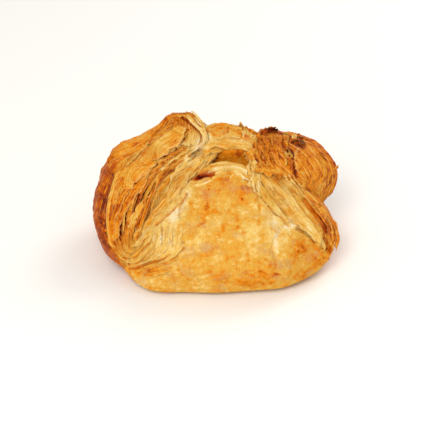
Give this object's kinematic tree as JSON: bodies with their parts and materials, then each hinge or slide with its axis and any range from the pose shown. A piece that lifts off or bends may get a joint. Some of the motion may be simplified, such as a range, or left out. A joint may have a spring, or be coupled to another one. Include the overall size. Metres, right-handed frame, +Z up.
{
  "type": "turnover pastry",
  "caption": "Square puff pastry turnover, its corners folded up to the middle round a small hollow and baked until the cut edges open into thin leaves.",
  "frame": {"origin": "middle of the flat underside, where the pastry rests", "axes": "+X to the right along the front fold, +Y from the front fold towards the back one, +Z up"},
  "size_m": [0.1189, 0.094, 0.06],
  "materials": {
    "crust": "baked golden crust, satin, browner at the edges"
  },
  "bodies": {
    "root": {"pastry": "crust"}
  },
  "joints": []
}
